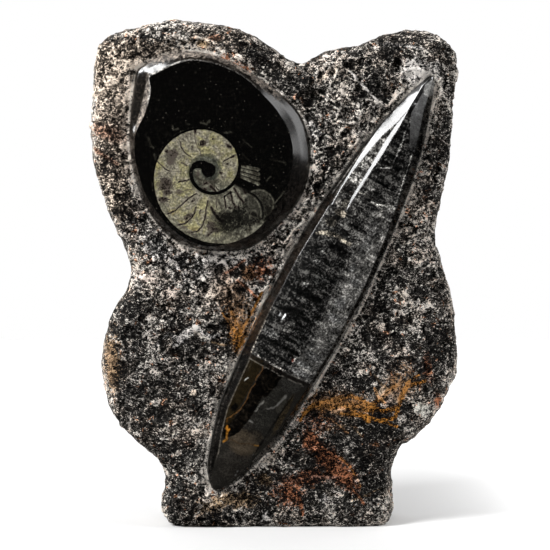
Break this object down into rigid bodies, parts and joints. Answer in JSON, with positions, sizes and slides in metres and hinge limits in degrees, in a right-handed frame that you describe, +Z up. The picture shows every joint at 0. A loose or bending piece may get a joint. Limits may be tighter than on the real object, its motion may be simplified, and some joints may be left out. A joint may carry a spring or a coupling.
{
  "type": "orthoceras fossil display",
  "caption": "Free-standing hewn slab of black fossil limestone with a waisted outline and a flat foot, and a straight and a coiled polished shell standing proud of its face.",
  "frame": {"origin": "on the surface that the foot rests on, under the centre of the bounding box", "axes": "+Z up, -Y out of the face that carries the fossils, +X to the right when facing it"},
  "size_m": [0.2174, 0.0762, 0.3001],
  "materials": {
    "hewn_limestone": "rough chiselled black-grey limestone with pale bruised ridges and rust veins",
    "polished_orthoceras": "polished black and smoky grey calcite shell",
    "polished_goniatite": "polished black limestone with a cream and green-grey calcite spiral"
  },
  "bodies": {
    "root": {"matrix_stone": "hewn_limestone", "orthoceras": "polished_orthoceras", "goniatite": "polished_goniatite"}
  },
  "joints": []
}
